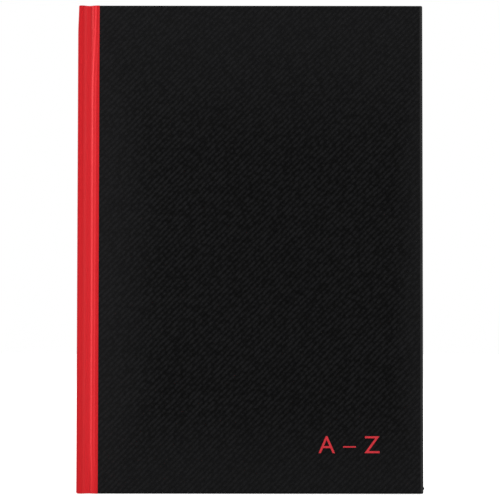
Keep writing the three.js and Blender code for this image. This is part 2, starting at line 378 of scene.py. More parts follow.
def slanted_ribs():
    """Fine ribs that rise at 45 degrees. Hand is 1 on the front and -1 on the back, seen from outside."""
    group, given, made = new_group(
        "slanted_ribs", [("Place", VECTOR), ("Pitch", FLOAT), ("Hand", FLOAT)],
        [("Height", FLOAT), ("Tone", FLOAT)])
    x, y, z = split(group, given["Place"])
    depth = calc(group, "SUBTRACT", HALF_THICKNESS, calc(group, "ABSOLUTE", y))
    run = calc(group, "ADD", calc(group, "MULTIPLY", x, given["Hand"]), depth)
    slant = calc(group, "MULTIPLY", calc(group, "SUBTRACT", run, z), SLANT)
    drift = calc(group, "SUBTRACT", noise(group, given["Place"], DRIFT_SCALE), 0.5)
    wander = calc(group, "MULTIPLY", drift, RIB_DRIFT)
    turn = calc(group, "DIVIDE", calc(group, "ADD", slant, wander), given["Pitch"])
    wave = calc(group, "SINE", calc(group, "MULTIPLY", turn, 2 * math.pi))
    rib = calc(group, "MULTIPLY_ADD", wave, 0.5, 0.5)
    cross = calc(group, "MULTIPLY", calc(group, "ADD", run, z), SLANT)
    cord = calc(group, "SINE", calc(group, "DIVIDE", cross, CORD))
    grain = calc(group, "MULTIPLY", calc(group, "MULTIPLY", cord, 0.12), rib)
    feed(group, made["Height"], calc(group, "ADD", rib, grain))
    crumbs = remap(group, noise(group, given["Place"], CRUMB_SCALE, detail=4.0), 0.3, 0.7)
    broken = calc(group, "MULTIPLY", rib, calc(group, "MULTIPLY_ADD", crumbs, 0.8, 0.3))
    feed(group, made["Tone"], calc(group, "MULTIPLY_ADD", crumbs, 0.2, broken))
    return group


ribs = slanted_ribs()
print("group", ribs.name)

# %% Paper seen close, and from its edge


def paper_fibre():
    """Soft clouds and short fibres in a sheet of paper."""
    group, given, made = new_group("paper_fibre", [("Place", VECTOR)], [("Cloud", FLOAT), ("Height", FLOAT)])
    feed(group, made["Cloud"], noise(group, given["Place"], 60.0, detail=5.0))
    x, y, z = split(group, given["Place"])
    drawn = join(group, calc(group, "MULTIPLY", x, 0.35), y, z)
    feed(group, made["Height"], noise(group, drawn, 5200.0, detail=2.0))
    return group


def stacked_leaves():
    """Dark hairlines between leaves, from a coordinate through the stack and the thickness of a leaf."""
    group, given, made = new_group("stacked_leaves", [("Through", FLOAT), ("Leaf", FLOAT)], [("Line", FLOAT)])
    turn = calc(group, "DIVIDE", given["Through"], given["Leaf"])
    off = calc(group, "ABSOLUTE", calc(group, "SUBTRACT", calc(group, "FRACT", turn), 0.5))
    feed(group, made["Line"], remap(group, off, 0.3, 0.5))
    return group


fibre = paper_fibre()
leaf_stack = stacked_leaves()
print("groups", fibre.name, leaf_stack.name)

# %% [markdown]
# ## The finishes
# Black cover paper is matt and dark with a faint, broken rib, and its colour paints light on the rib tops
# and shade between them. It has painted light towards its rim, and a painted highlight along the
# fore-edge. The rim the book stands on has painted shade. Red book cloth has fine threads filled with
# starch, so it is nearly smooth and has a soft shine. Its colour is painted lighter in the groove, as
# painted light, and has painted highlights on the two creases. Near head and tail the painted light in
# the groove ends a little sooner, while the painted crease highlights bow away from the spine, and at
# the tail they fade out. The leaves are cream-white paper with feint grey-blue lines. None of these is
# metal and none is see-through, so colour, roughness and a little bump carry the whole look.

# %% Black ribbed cover paper
RIB_PITCH = 2.56 * MM
FORE_EDGE_HIGHLIGHT_BAND = (1.2 * MM, 2.1 * MM)
UNLIT = (0.4 * MM, 1.2 * MM)
# How much painted light lies at the rim, and how far it reaches from each side.
RIM_LIGHT_SHARE = 0.36
RIM_LIGHT_REACH = {"head": 110 * MM, "tail": 60 * MM, "spine": 45 * MM, "fore_edge": 20 * MM}


def black_paper(name, hand):
    """Hand is 1 on the front and -1 on the back, as for the ribs."""
    material, tree, shader, place = new_material(name)
    rib = use_group(tree, ribs, Place=place, Pitch=RIB_PITCH, Hand=hand)
    cloud = use_group(tree, fibre, Place=place)["Cloud"]
    # Painted light and shade: the rib tone makes the rib tops lighter and the grooves between them darker,
    # over the paper's own clouds.
    deep = mix_colour(tree, cloud, screen(2, 2, 2), screen(5, 5, 5))
    light = mix_colour(tree, cloud, screen(20, 20, 21), screen(25, 25, 26))
    ribbed = mix_colour(tree, rib["Tone"], deep, light)
    x, y, z = split(tree, place)
    distance_from = {
        "head": calc(tree, "SUBTRACT", HEIGHT, z),
        "tail": z,
        "spine": calc(tree, "SUBTRACT", x, paper_start),
        "fore_edge": calc(tree, "SUBTRACT", cad_high.x, x),
    }
    # Painted light: the paper gets lighter towards each rim, reaching furthest in from the head.
    rim_light = 0.0
    for rim, reach in RIM_LIGHT_REACH.items():
        rim_light = calc(tree, "MAXIMUM", rim_light, remap(tree, distance_from[rim], 0.0, reach, RIM_LIGHT_SHARE, 0.0))
    rim_lit = mix_colour(tree, rim_light, ribbed, screen(28, 28, 29))
    # Painted highlight: a light band along the rounded fore-edge, broken by the paper's clouds, for the light
    # it catches from the right.
    near_fore_edge = remap(tree, distance_from["fore_edge"], *FORE_EDGE_HIGHLIGHT_BAND, 1.0, 0.0)
    fore_edge_highlight = calc(tree, "MULTIPLY", near_fore_edge, remap(tree, cloud, 0.2, 0.7, 0.7, 1.0))
    wear_and_highlight = mix_colour(tree, fore_edge_highlight, rim_lit, screen(44, 44, 44))
    unlit = remap(tree, z, *UNLIT, 0.8, 0.0)
    feed(tree, shader.inputs["Base Color"], mix_colour(tree, unlit, wear_and_highlight, screen(2, 2, 2)))
    feed(tree, shader.inputs["Roughness"], remap(tree, rib["Height"], 0.0, 1.0, 0.62, 0.5))
    shader.inputs["Specular IOR Level"].default_value = 0.03
    bump(tree, shader, rib["Height"], 0.06 * MM, strength=0.7)
    return material


black_front = black_paper("black_paper_front", 1.0)
black_back = black_paper("black_paper_back", -1.0)
print("rib pitch", round(RIB_PITCH / MM, 2), "mm")

# %% Red book cloth
THREAD_PITCH = 0.42 * MM
CORNER_SHADE = (0.2 * MM, 1.6 * MM)
SINKS = (4.4 * MM, 6.4 * MM)
CLIMBS = (8.0 * MM, 9.0 * MM)
# Painted highlights on the creases: where each starts, is brightest and ends, and how bright it is.
CREASE_HIGHLIGHTS = (
    (8.2 * MM, 8.9 * MM, 9.7 * MM, 0.9),
    (10.4 * MM, 10.9 * MM, 11.7 * MM, 0.4),
)
HEAD_BOW = 2.2 * MM
HEAD_BOW_REACH = 60 * MM
TAIL_BOW = 1.3 * MM
TAIL_BOW_REACH = 30 * MM
CREASE_FADE = 42 * MM
# The painted light in the groove ends sooner by this share of the painted creases' bow.
SOONER = 0.3
INSIDE_DEPTH = 2.6 * MM
OUTSIDE_DEPTH = 2.2 * MM


def on_outside(tree, y):
    """A mask that is 1 on the outer face of the case and its groove, and 0 inside the book."""
    from_middle = calc(tree, "ABSOLUTE", y)
    return remap(tree, from_middle, HALF_THICKNESS - INSIDE_DEPTH, HALF_THICKNESS - OUTSIDE_DEPTH)


def red_cloth():
    material, tree, shader, place = new_material("red_cloth", bends=True)
    threads = use_group(tree, weave, Place=place, Pitch=THREAD_PITCH)
    cloud = use_group(tree, fibre, Place=place)["Cloud"]
    x, y, z = split(tree, place)
    face = mix_colour(tree, cloud, screen(195, 25, 33), screen(203, 31, 37))
    threaded = mix_colour(tree, threads["Gap"], face, screen(178, 18, 26))
    distance = calc(tree, "SUBTRACT", x, SPINE_X)
    outside = on_outside(tree, y)
    at_head = remap(tree, z, HEIGHT - HEAD_BOW_REACH, HEIGHT, 0.0, HEAD_BOW)
    at_tail = remap(tree, z, 0.0, TAIL_BOW_REACH, TAIL_BOW, 0.0)
    bow = calc(tree, "ADD", at_head, at_tail)
    bowed = calc(tree, "SUBTRACT", distance, bow)
    # Painted light: the cloth's colour is lightened from where the groove sinks to where it climbs, lifting
    # the shade in the groove.
    sunk = remap(tree, distance, *SINKS)
    not_climbed = remap(tree, calc(tree, "MULTIPLY_ADD", bow, SOONER, distance), *CLIMBS, 1.0, 0.0)
    groove_painted_light = calc(tree, "MULTIPLY", calc(tree, "MULTIPLY", sunk, not_climbed), outside)
    tone = mix_colour(tree, groove_painted_light, threaded, screen(232, 42, 50))
    # Painted highlights on the two creases, bowed away from the spine near head and tail and faded out
    # towards the tail.
    on_crease = calc(tree, "MULTIPLY", outside, remap(tree, z, 0.0, CREASE_FADE, 0.1, 1.0))
    for start, middle, end, brightness in CREASE_HIGHLIGHTS:
        rise = remap(tree, bowed, start, middle)
        fall = remap(tree, bowed, middle, end, brightness, 0.0)
        crease_highlight = calc(tree, "MULTIPLY", calc(tree, "MULTIPLY", rise, fall), on_crease)
        tone = mix_colour(tree, crease_highlight, tone, screen(226, 56, 62))
    corner = remap(tree, distance, *CORNER_SHADE, 0.75, 0.0)
    feed(tree, shader.inputs["Base Color"], mix_colour(tree, corner, tone, screen(150, 16, 24)))
    feed(tree, shader.inputs["Roughness"], remap(tree, cloud, 0.3, 0.7, 0.4, 0.48))
    shader.inputs["Specular IOR Level"].default_value = 0.1
    drawn = join(tree, calc(tree, "MULTIPLY", x, 3.0), y, calc(tree, "MULTIPLY", z, 0.4))
    ripple = calc(tree, "MULTIPLY", noise(tree, drawn, 120.0, detail=2.0), 3.0)
    bump(tree, shader, calc(tree, "ADD", threads["Height"], ripple), 0.03 * MM, strength=0.5)
    return material


book_cloth = red_cloth()
print("thread pitch", round(THREAD_PITCH / MM, 2), "mm")

# %% Paper of the leaves and the endpapers
RULE_PITCH = 8 * MM
RULE_WIDTH = 0.3 * MM
PAPER = (leaf_high.y - leaf_low.y) / 4
HEAD_MARGIN = 22 * MM
TAIL_MARGIN = 12 * MM
GAP_SHADE = 0.55


def edge_darkness(tree, through, leaf):
    """The hairlines that the gaps between stacked leaves draw on their edges."""
    line = use_group(tree, leaf_stack, Through=through, Leaf=leaf)["Line"]
    return calc(tree, "MULTIPLY", line, GAP_SHADE)


def ruled_paper():
    material, tree, shader, place = new_material("ruled_paper", bends=True)
    x, y, z = split(tree, place)
    cloud = use_group(tree, fibre, Place=place)
    sheet = mix_colour(tree, cloud["Cloud"], screen(240, 236, 226), screen(246, 243, 234))
    below = calc(tree, "SUBTRACT", leaf_high.z - HEAD_MARGIN, z)
    step = calc(tree, "FRACT", calc(tree, "DIVIDE", below, RULE_PITCH))
    off = calc(tree, "ABSOLUTE", calc(tree, "SUBTRACT", step, 0.5))
    line = remap(tree, off, 0.5 - RULE_WIDTH / RULE_PITCH, 0.5)
    inside = calc(tree, "MULTIPLY",
                  calc(tree, "GREATER_THAN", below, -RULE_PITCH / 4),
                  calc(tree, "GREATER_THAN", z, leaf_low.z + TAIL_MARGIN))
    written = calc(tree, "MULTIPLY", calc(tree, "MULTIPLY", line, inside), 0.85)
    face = mix_colour(tree, written, sheet, screen(150, 172, 196))
    feed(tree, shader.inputs["Base Color"], face)
    shader.inputs["Roughness"].default_value = 0.85
    shader.inputs["Specular IOR Level"].default_value = 0.2
    bump(tree, shader, cloud["Height"], 0.01 * MM, strength=0.3)
    return material


def leaf_edges():
    material, tree, shader, place = new_material("leaf_edges", bends=True)
    x, y, z = split(tree, place)
    dark = edge_darkness(tree, calc(tree, "SUBTRACT", y, leaf_low.y), PAPER)
    drawn = [calc(tree, "MULTIPLY", part, by) for part, by in ((x, 8.0), (y, 1600.0), (z, 8.0))]
    bunch = remap(tree, noise(tree, join(tree, *drawn), 1.0, detail=4.0), 0.38, 0.66)
    block = mix_colour(tree, bunch, screen(243, 239, 229), screen(206, 199, 182))
    feed(tree, shader.inputs["Base Color"], mix_colour(tree, dark, block, screen(176, 168, 150)))
    shader.inputs["Roughness"].default_value = 0.95
    shader.inputs["Specular IOR Level"].default_value = 0.1
    return material


ruled = ruled_paper()
edges = leaf_edges()
print("rules every", RULE_PITCH / MM, "mm, leaves", round(PAPER / MM, 3), "mm thick")

# %% Endpaper, with the turn-ins showing through
TURN_IN = 15.3 * MM


def endpaper():
    material, tree, shader, place = new_material("plain_endpaper", bends=True)
    x, y, z = split(tree, place)
    cloud = use_group(tree, fibre, Place=place)
    from_ends = calc(tree, "MINIMUM", z, calc(tree, "SUBTRACT", HEIGHT, z))
    from_rim = calc(tree, "MINIMUM", from_ends, calc(tree, "SUBTRACT", cad_high.x, x))
    ridge = remap(tree, from_rim, TURN_IN - 0.4 * MM, TURN_IN + 0.4 * MM, 1.0, 0.0)
    tone = mix_colour(tree, cloud["Cloud"], screen(233, 229, 217), screen(240, 236, 226))
    shaded = calc(tree, "MULTIPLY", ridge, 0.12)
    feed(tree, shader.inputs["Base Color"], mix_colour(tree, shaded, tone, screen(210, 204, 192)))
    shader.inputs["Roughness"].default_value = 0.88
    shader.inputs["Specular IOR Level"].default_value = 0.2
    height = calc(tree, "ADD", calc(tree, "MULTIPLY", ridge, 8.0), cloud["Height"])
    bump(tree, shader, height, 0.02 * MM, strength=0.6)
    return material


end_paper = endpaper()
print("turn-in shows", round(TURN_IN / MM, 1), "mm from the rim")

# %% Folded sections, board, lining, mull, thread and bands
fold_low, fold_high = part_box("section_fold_1")
SECTION = fold_high.y - fold_low.y
STRIPE = 0.28 * MM
MULL_PITCH = 1.1 * MM
WINDING_PITCH = 0.3 * MM


def folded_paper():
    material, tree, shader, place = new_material("folded_sections")
    x, y, z = split(tree, place)
    pitch = fold_low.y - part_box("section_fold_2")[0].y
    through = calc(tree, "SUBTRACT", y, fold_low.y)
    middle = calc(tree, "SUBTRACT", calc(tree, "FLOORED_MODULO", through, abs(pitch)), SECTION / 2)
    back = calc(tree, "MAXIMUM", calc(tree, "SUBTRACT", fold_low.x + SECTION / 2, x), 0.0)
    squares = calc(tree, "ADD", calc(tree, "POWER", middle, 2.0), calc(tree, "POWER", back, 2.0))
    dark = edge_darkness(tree, calc(tree, "SQRT", squares), PAPER)
    tone = mix_colour(tree, dark, screen(240, 236, 226), screen(172, 164, 146))
    feed(tree, shader.inputs["Base Color"], tone)
    shader.inputs["Roughness"].default_value = 0.9
    shader.inputs["Specular IOR Level"].default_value = 0.15
    return material


def grey_board():
    material, tree, shader, place = new_material("grey_board")
    x, y, z = split(tree, place)
    speck = remap(tree, noise(tree, place, 1900.0, detail=4.0), 0.42, 0.62)
    layer = noise(tree, join(tree, x, calc(tree, "MULTIPLY", y, 30.0), 0.0), 90.0)
    base = mix_colour(tree, layer, screen(128, 124, 116), screen(150, 145, 136))
    specked = calc(tree, "MULTIPLY", speck, 0.4)
    feed(tree, shader.inputs["Base Color"], mix_colour(tree, specked, base, screen(96, 92, 88)))
    shader.inputs["Roughness"].default_value = 0.95
    shader.inputs["Specular IOR Level"].default_value = 0.1
    bump(tree, shader, speck, 0.03 * MM, strength=0.6)
    return material


def open_weave(name, pitch, thread, gap):
    material, tree, shader, place = new_material(name)
    threads = use_group(tree, weave, Place=place, Pitch=pitch)
    share = remap(tree, threads["Gap"], 0.15, 0.6)
    feed(tree, shader.inputs["Base Color"], mix_colour(tree, share, thread, gap))
    shader.inputs["Roughness"].default_value = 0.9
    shader.inputs["Specular IOR Level"].default_value = 0.15
    bump(tree, shader, threads["Height"], 0.06 * MM, strength=0.8)
    return material


def striped_band():
    material, tree, shader, place = new_material("striped_band")
    x, y, z = split(tree, place)
    wave = calc(tree, "SINE", calc(tree, "DIVIDE", y, STRIPE))
    stripe = remap(tree, wave, -0.15, 0.15)
    tone = mix_colour(tree, stripe, screen(196, 38, 44), screen(238, 232, 220))
    feed(tree, shader.inputs["Base Color"], tone)
    shader.inputs["Roughness"].default_value = 0.6
    bump(tree, shader, calc(tree, "ABSOLUTE", wave), 0.08 * MM, strength=0.8)
    return material


def lining_paper():
    material, tree, shader, place = new_material("lining_paper")
    cloud = use_group(tree, fibre, Place=place)
    tone = mix_colour(tree, cloud["Cloud"], screen(206, 188, 156), screen(222, 206, 178))
    feed(tree, shader.inputs["Base Color"], tone)
    shader.inputs["Roughness"].default_value = 0.9
    bump(tree, shader, cloud["Height"], 0.02 * MM, strength=0.4)
    return material


carried = {
    "spine_board": grey_board(),
    "spine_lining_paper": lining_paper(),
    "mull": open_weave("mull_cloth", MULL_PITCH, screen(232, 226, 208), screen(196, 186, 160)),
    "sewing_thread": open_weave(
        "waxed_thread", WINDING_PITCH, screen(240, 236, 222), screen(206, 198, 178)),
    "head_band": striped_band(),
}
carried["tail_band"] = carried["head_band"]
for word in WORD.values():
    carried[f"{word}_board"] = carried["spine_board"]
    carried[f"{word}_mull_flange"] = carried["mull"]
folded = folded_paper()
for name in nodes:
    if name.startswith("section_fold"):
        carried[name] = folded
for name, material in carried.items():
    mesh = nodes[name].data
    mesh.materials.clear()
    mesh.materials.append(material)
print("finishes on", len(carried), "nodes that stay")

# %% [markdown]
# ## Helpers for shaping pieces
# A CAD mesh is made of loose triangles. A copy of it, with its doubled points merged and its flat faces
# joined again, is a clean start for a softer piece: its edges can be rounded with a bevel and cut finer
# where it has to bend. A finished piece keeps its rest place in its mesh, and rigid pieces ride on a body.

# %% Shape helpers
SAME_POINT = 0.002 * MM
FLAT = math.radians(0.5)
ON_PLANE = 1e-7


def merged_copy(node):
    bm = bmesh.new()
    bm.from_mesh(nodes[node].data)
    bmesh.ops.remove_doubles(bm, verts=bm.verts, dist=SAME_POINT)
    bmesh.ops.dissolve_limit(
        bm, angle_limit=FLAT, verts=bm.verts, edges=bm.edges, use_dissolve_boundaries=False)
    return bm


def everything(bm):
    return bm.verts[:] + bm.edges[:] + bm.faces[:]


def cut_along(bm, axis, places):
    """Cuts the mesh with one plane at each place along an axis, so that it can bend there."""
    for place in places:
        point, normal = Vector((0, 0, 0)), Vector((0, 0, 0))
        point[axis], normal[axis] = place, 1.0
        bmesh.ops.bisect_plane(bm, geom=everything(bm), dist=ON_PLANE, plane_co=point, plane_no=normal)


def soften(bm, edge_list, offset, segments=3):
    bmesh.ops.bevel(
        bm, geom=list(edge_list), offset=offset, offset_type="OFFSET", segments=segments, profile=0.5,
        affect="EDGES", material=-1, clamp_overlap=True)


def add_box(bm, low, high):
    made = bmesh.ops.create_cube(bm, size=1.0)["verts"]
    bmesh.ops.scale(bm, vec=high - low, verts=made)
    bmesh.ops.translate(bm, vec=(low + high) / 2, verts=made)


def steps(start, end, count):
    return [start + (end - start) * i / count for i in range(count + 1)]


def keep_rest(mesh):
    """Stores where each point is in the closed book, for patterns on pieces that bend."""
    rest = mesh.attributes.new("rest", "FLOAT_VECTOR", "POINT")
    places = [0.0] * (3 * len(mesh.vertices))
    mesh.vertices.foreach_get("co", places)
    rest.data.foreach_set("vector", places)


def finish_piece(name, bm, materials, crease=40.0):
    bmesh.ops.recalc_face_normals(bm, faces=bm.faces)
    mesh = bpy.data.meshes.new(name)
    bm.to_mesh(mesh)
    bm.free()
    for material in materials:
        mesh.materials.append(material)
    mesh.shade_smooth()
    mesh.set_sharp_from_angle(angle=math.radians(crease))
    keep_rest(mesh)
    obj = bpy.data.objects.new(name, mesh)
    bpy.context.scene.collection.objects.link(obj)
    return obj


print("shape helpers ready")

# %% [markdown]
# ## Black paper round the boards
# On a real case the side paper is glued over the board, wraps round its edges and is turned in behind it.
# The board's edges press it into a soft round. The CAD solid already wraps and turns in, so its copy only
# needs rounding: the outer edges and the corners with the radius of a paper-covered board, the inner ones
# less. At the tail corner the folded layers are thicker, and stand out as a small ear.

# %% Round the cover papers
EDGE_ROUND = 0.9 * MM
INNER_ROUND = 0.3 * MM
LIP_ROUND = 0.1 * MM
EAR_HEIGHT = 3.1 * MM
EAR_RISE = 1.6 * MM
EAR_FALL = 0.8 * MM
EAR = 0.6 * MM
EAR_CUTS = [
    *steps(EAR_HEIGHT - EAR_FALL, EAR_HEIGHT, 4),
    *steps(EAR_HEIGHT, EAR_HEIGHT + EAR_RISE, 6)[1:],
]


def near(value, target, slack=0.01 * MM):
    return abs(value - target) < slack


def raise_ear(bm):
    """The folded corner at the tail is thicker where the layers meet, and stands out a little."""
    cut_along(bm, 2, EAR_CUTS)
    for vert in bm.verts:
        above = vert.co.z - EAR_HEIGHT
        up = max(1 - above / EAR_RISE if above > 0 else 1 + above / EAR_FALL, 0.0)
        out = max(1 - (cad_high.x - vert.co.x) / EAR_RISE, 0.0)
        vert.co.x += EAR * out * (1 - math.cos(math.pi * up)) / 2


def cover_paper(side, material):
    word = WORD[side]
    bm = merged_copy(f"{word}_cover_paper")
    low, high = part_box(f"{word}_cover_paper")
    outer = low.y if side == FRONT else high.y
    inner = high.y if side == FRONT else low.y

    def runs_in(edge, y):
        return all(near(v.co.y, y) for v in edge.verts)

    def along_rim(edge):
        a, b = edge.verts
        return any(near(a.co[i], b.co[i]) and near(a.co[i], limit)
                   for i, limit in ((0, cad_high.x), (2, 0.0), (2, HEIGHT)))

    def at_corner(edge):
        return all(near(v.co.x, cad_high.x) and (near(v.co.z, 0.0) or near(v.co.z, HEIGHT))
                   for v in edge.verts)

    soften(bm, [e for e in bm.edges if (runs_in(e, outer) and along_rim(e)) or
                (at_corner(e) and not near(e.verts[0].co.y, e.verts[1].co.y))], EDGE_ROUND, segments=4)
    soften(bm, [e for e in bm.edges if runs_in(e, inner) and along_rim(e)], INNER_ROUND, segments=2)
    soften(bm, [e for e in bm.edges if runs_in(e, outer) and all(near(v.co.x, low.x) for v in e.verts)],
           LIP_ROUND, segments=2)
    raise_ear(bm)
    piece = finish_piece(f"{word}_side_paper", bm, [material])
    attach(piece, f"{word}_cover")
    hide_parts(f"{word}_cover_paper")
    return piece


for side, material in ((FRONT, black_front), (BACK, black_back)):
    piece = cover_paper(side, material)
    print(piece.name, len(piece.data.polygons), "faces")

# %% [markdown]
# ## The board inside the spine
# Damp cloth pulled over the end of the spine's board crushes the board's corners a little, which is why
# the spine of a used book has soft ends. At the head the board also leans in a little, because a finger
# pulls the book from its shelf there. The board and the cloth are cut in the same places here, and the
# same rule moves the points of both, so that the cloth stays on top of the board.

# %% Soften the ends of the spine board
CORNER_REACH = 1.5 * MM
CORNER_DROP = 0.7 * MM
LEAN = 0.5 * MM
LEAN_DEPTH = 2.2 * MM
LEAN_HEIGHT = 18 * MM
CORNER_CUTS = [from_spine(u * MM) for u in (0.15, 0.4, 0.7, 1.05, 1.3)]
END_CUTS = [0.5 * MM, 1.5 * MM, HEIGHT - 1.5 * MM, HEIGHT - 0.5 * MM]
LEAN_CUTS = steps(HEIGHT - LEAN_HEIGHT, HEIGHT - 3 * MM, 6)


def cut_corner(bm):
    """Cuts the spine's outer corner finer, at its two ends and where it leans."""
    cut_along(bm, 0, CORNER_CUTS)
    cut_along(bm, 2, END_CUTS)
    cut_along(bm, 2, LEAN_CUTS)


def closeness(distance, reach):
    """1 at a distance of nothing, 0 from the reach on."""
    return max(1 - distance / reach, 0.0)


def fall_away(bm):
    """Moves points near the spine's outer corners towards the book's middle, and inwards at the head."""
    for vert in bm.verts:
        inwards = vert.co.x - SPINE_X
        from_head = HEIGHT - vert.co.z
        pull = closeness(vert.co.z, CORNER_REACH) - closeness(from_head, CORNER_REACH)
        vert.co.z += CORNER_DROP * closeness(inwards, CORNER_REACH) ** 2 * pull
        lean = (1 - math.cos(math.pi * closeness(from_head, LEAN_HEIGHT))) / 2
        vert.co.x += LEAN * closeness(inwards, LEAN_DEPTH) ** 2 * lean


def soft_spine_board():
    bm = merged_copy("spine_board")
    cut_corner(bm)
    fall_away(bm)
    piece = finish_piece("soft_spine_board", bm, [carried["spine_board"]])
    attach(piece, "spine")
    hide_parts("spine_board")
    return piece


print(soft_spine_board().name, "falls away by", CORNER_DROP / MM, "mm and leans in by", LEAN / MM, "mm")

# %% [markdown]
# ## Red cloth over the spine and the grooves
# One strip of cloth covers the spine and is glued onto both boards, with a pressed groove between, which
# is the hinge of the case. It has to bend, so each half is one closed sheet from the middle of the spine
# to the edge of the black paper: a copy of the spine's half and of the board's part, bridged over the
# slit that the CAD solids leave. At head and tail the cloth is turned in round the board, where it also
# hides the board's edge.

# %% Make each half of the cloth
CLOTH_ROUND = 0.13 * MM
CLOTH_THICKNESS = 0.25 * MM
BEND_START = hinge_x - 2.0 * MM
RIDGE_WIDTH = 2.6 * MM
GROOVE_DEPTH = 2.0 * MM
GROOVE_END = 11.2 * MM
GROOVE_CUTS = steps(from_spine(2.5 * MM), from_spine(12.3 * MM), 49)
ON_LINE = 0.06 * MM
ON_SLIT = 0.1 * MM
END_ANGLE = math.radians(50)
HINGE = hinge_x - SPINE_X
# Stretches of the groove: from where, to where, and how far it sinks, or climbs where that is negative.
# The solid has the plain line, and the cloth gets the creased one.
PLAIN_LINE = ((RIDGE_WIDTH, HINGE, GROOVE_DEPTH), (HINGE, GROOVE_END, -GROOVE_DEPTH))
CLOTH_LINE = (
    (RIDGE_WIDTH, HINGE, GROOVE_DEPTH),
    (7.4 * MM, 10.2 * MM, -0.7 * GROOVE_DEPTH),
    (9.5 * MM, 12.1 * MM, -0.3 * GROOVE_DEPTH),
)


def depth_of(line, distance):
    """How deep the cloth lies at a distance from the spine, from stretches that each sink or climb."""
    depth = 0.0
    for start, end, change in line:
        share = min(max((distance - start) / (end - start), 0.0), 1.0)
        depth += change * (1 - math.cos(math.pi * share)) / 2
    return depth


def press_groove(bm):
    """Moves the outer points from the solid's plain line onto one that climbs in two creased steps."""
    for vert in bm.verts:
        distance = vert.co.x - SPINE_X
        depth = HALF_THICKNESS - abs(vert.co.y)
        if distance > RIDGE_WIDTH and near(depth, depth_of(PLAIN_LINE, distance), ON_LINE):
            vert.co.y = math.copysign(HALF_THICKNESS - depth_of(CLOTH_LINE, distance), vert.co.y)


def half_of_spine_cloth(side):
    bm = merged_copy("spine_cloth")
    cut = bmesh.ops.bisect_plane(
        bm, geom=everything(bm), dist=ON_PLANE, plane_co=(0, 0, 0), plane_no=(0, side, 0), clear_inner=True)
    rim = [part for part in cut["geom_cut"] if isinstance(part, bmesh.types.BMEdge)]
    bmesh.ops.edgenet_fill(bm, edges=rim)
    return bm


def bridge_slit(bm):
    """Opens the two faces that look at each other across the slit, and joins their rims."""
    sides = [f for f in bm.faces if all(near(v.co.x, cloth_end, ON_SLIT) for v in f.verts)
             or all(near(v.co.x, cover_start, ON_SLIT) for v in f.verts)]
    rims = {e for f in sides for e in f.edges}
    bmesh.ops.delete(bm, geom=sides, context="FACES_ONLY")
    bmesh.ops.bridge_loops(bm, edges=list(rims))
    return len(sides)


def round_cloth_ends(bm):
    """Rounds the outer rim of the cloth at head and tail."""
    ends = [e for e in bm.edges
            if any(all(near(v.co.z, z) for v in e.verts) for z in (0.0, HEIGHT))
            and e.is_manifold and e.calc_face_angle(0.0) > END_ANGLE]
    soften(bm, ends, CLOTH_ROUND, segments=2)


def wrap_board_edge(bm, word):
    """The cloth that is turned in at head and tail also hides the board's edge beside the groove."""
    edge_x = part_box(f"{word}_board")[0].x
    ys = [v.co.y for v in nodes[f"{word}_board"].data.vertices if near(v.co.x, edge_x)]
    ys.append(min((corner.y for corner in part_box(f"{word}_hinge_cloth")), key=abs))
    for tail, head in ((CLOTH_ROUND, TURN_IN), (HEIGHT - TURN_IN, HEIGHT - CLOTH_ROUND)):
        add_box(bm, Vector((edge_x - CLOTH_THICKNESS, min(ys), tail)), Vector((edge_x, max(ys), head)))


def cloth_half(side):
    word = WORD[side]
    bm = half_of_spine_cloth(side)
    board_part = merged_copy(f"{word}_hinge_cloth")
    carrier = bpy.data.meshes.new("carrier")
    board_part.to_mesh(carrier)
    board_part.free()
    bm.from_mesh(carrier)
    bpy.data.meshes.remove(carrier)
    bridged = bridge_slit(bm)
    cut_corner(bm)
    cut_along(bm, 0, GROOVE_CUTS)
    press_groove(bm)
    round_cloth_ends(bm)
    fall_away(bm)
    wrap_board_edge(bm, word)
    piece = finish_piece(f"{word}_half_cloth", bm, [book_cloth])
    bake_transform(piece)
    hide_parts(f"{word}_hinge_cloth", "spine_cloth")
    return piece, bridged


for side in (FRONT, BACK):
    piece, bridged = cloth_half(side)
    print(piece.name, len(piece.data.polygons), "faces,", bridged, "slit faces bridged")

# %% [markdown]
# ## Endpapers
# An endpaper is one folded sheet. Half of it, the pastedown, is glued inside the cover and hides the mull
# and the edges of the turned-in paper. The other half is the first free leaf. Both start at the same fold
# beside the sewn leaves and move with different parts of the book, so each is its own thin sheet, cut in its
# own places.

# %% Make the pastedowns and flyleaves
LEAF_BEND_END = hinge_x + 5.5 * MM
LEAF_CUTS = 26
PASTED_CUTS = steps(from_spine(4.5 * MM), from_spine(9.5 * MM), 24)
FREE_CUTS = steps(BEND_START, LEAF_BEND_END, LEAF_CUTS)


def thin_sheet(low, high, cuts):
    """A closed sheet between two corners, cut where it has to bend."""
    bm = bmesh.new()
    add_box(bm, low, high)
    cut_along(bm, 0, cuts)
    return bm


def endpaper_leaf(side, node, cuts):
    word = WORD[side]
    low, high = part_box(f"{word}_{node}")
    low.x = fold_low.x
    bm = thin_sheet(low, high, cuts)
    piece = finish_piece(f"{word}_{node}_sheet", bm, [end_paper])
    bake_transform(piece)
    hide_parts(f"{word}_{node}")
    return piece


for side in (FRONT, BACK):
    word = WORD[side]
    pasted = endpaper_leaf(side, "pastedown", PASTED_CUTS)
    free = endpaper_leaf(side, "flyleaf", FREE_CUTS)
    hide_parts(f"{word}_endpaper_fold")
    print(pasted.name, free.name)

# %% [markdown]
# ## Leaves with a cut index
# In an index book the fore-edge is cut in steps: the leaves of each letter keep their margin only above
# the end of their own tab, so every tab of a later letter can be seen and opened with a thumb. Four
# leaves share a tab. A piece starts as a thin box, its margin is pulled out of the box's edge with an
# extrude, and the tab's lower corner is rounded with a bevel, as the cutter's knife leaves it.

# %% Letters for the tabs
LETTER_SIZE = 7.0 * MM
THREE_LETTERS = 0.55
INK = 0.002 * MM


